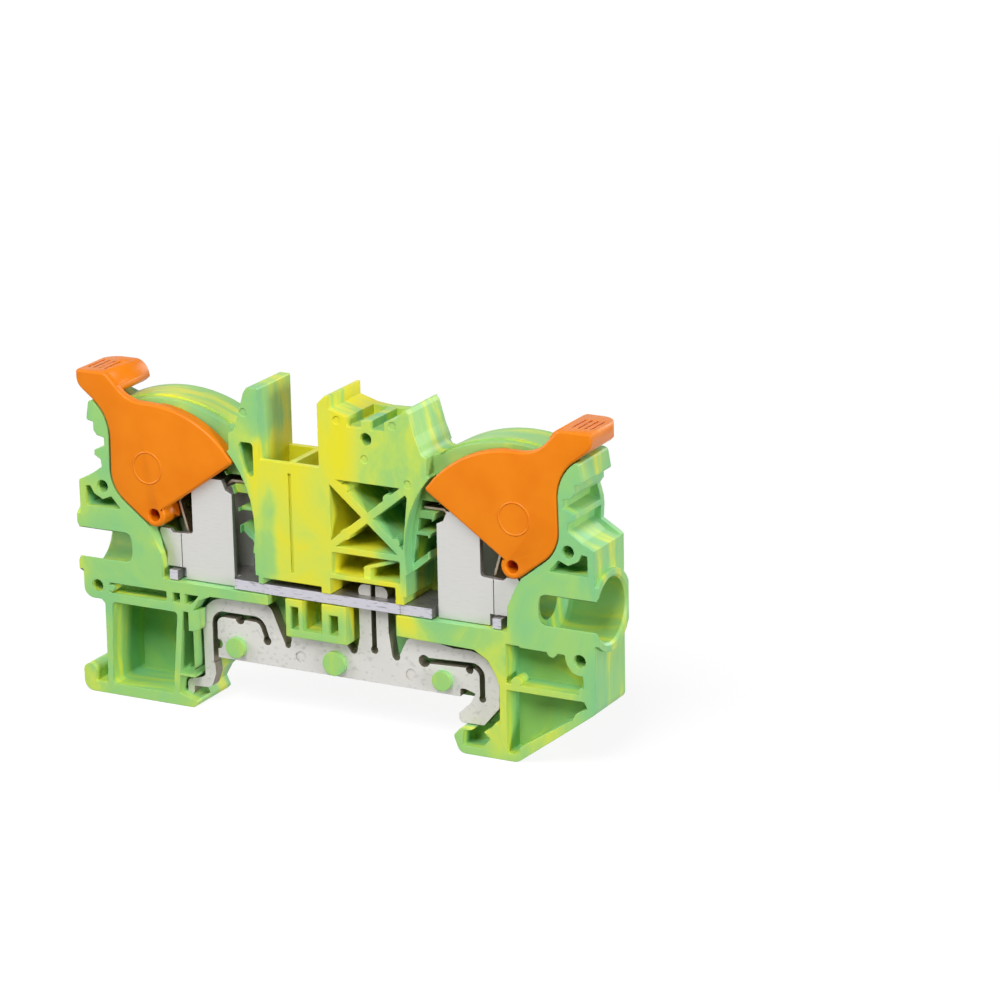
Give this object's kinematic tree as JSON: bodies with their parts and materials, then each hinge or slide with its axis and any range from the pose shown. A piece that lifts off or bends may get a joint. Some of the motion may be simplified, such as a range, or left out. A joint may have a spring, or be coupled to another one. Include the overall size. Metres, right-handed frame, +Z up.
{
  "type": "earth terminal block",
  "caption": "Slim green and yellow rail-mounted earth terminal block with an orange clamping lever at each end, a wire funnel below each lever and a sprung metal rail foot.",
  "frame": {"origin": "middle of the rail's top plane under the block, halfway between the open front face and the closed back face", "axes": "+X along the block towards the right lever seen from the open face, +Y from the open face to the closed face along the rail, +Z up away from the rail"},
  "size_m": [0.0691, 0.0083, 0.0404],
  "materials": {
    "housing": "satin moulded plastic, green with yellow swirls",
    "lever": "satin orange moulded plastic",
    "busbar": "tinned copper bar",
    "foot": "dull plated spring steel with sheared edges",
    "cage": "satin plated steel sheet",
    "spring": "stainless spring strip"
  },
  "bodies": {
    "block": {"housing": "housing", "busbar": "busbar", "rail_foot": "foot", "cage_left": "cage", "cage_right": "cage", "clamping_spring_left": "spring", "clamping_spring_right": "spring"},
    "left_lever": {"lever_left": "lever"},
    "right_lever": {"lever_right": "lever"}
  },
  "joints": [
    {"name": "left_lever_hinge", "type": "hinge", "parent": "block", "child": "left_lever", "pos_m": [-0.02365, 0, 0.0174], "axis": [0, 1, 0], "range_deg": [0, 50]},
    {"name": "right_lever_hinge", "type": "hinge", "parent": "block", "child": "right_lever", "pos_m": [0.02365, 0, 0.0174], "axis": [0, -1, 0], "range_deg": [0, 50]}
  ]
}
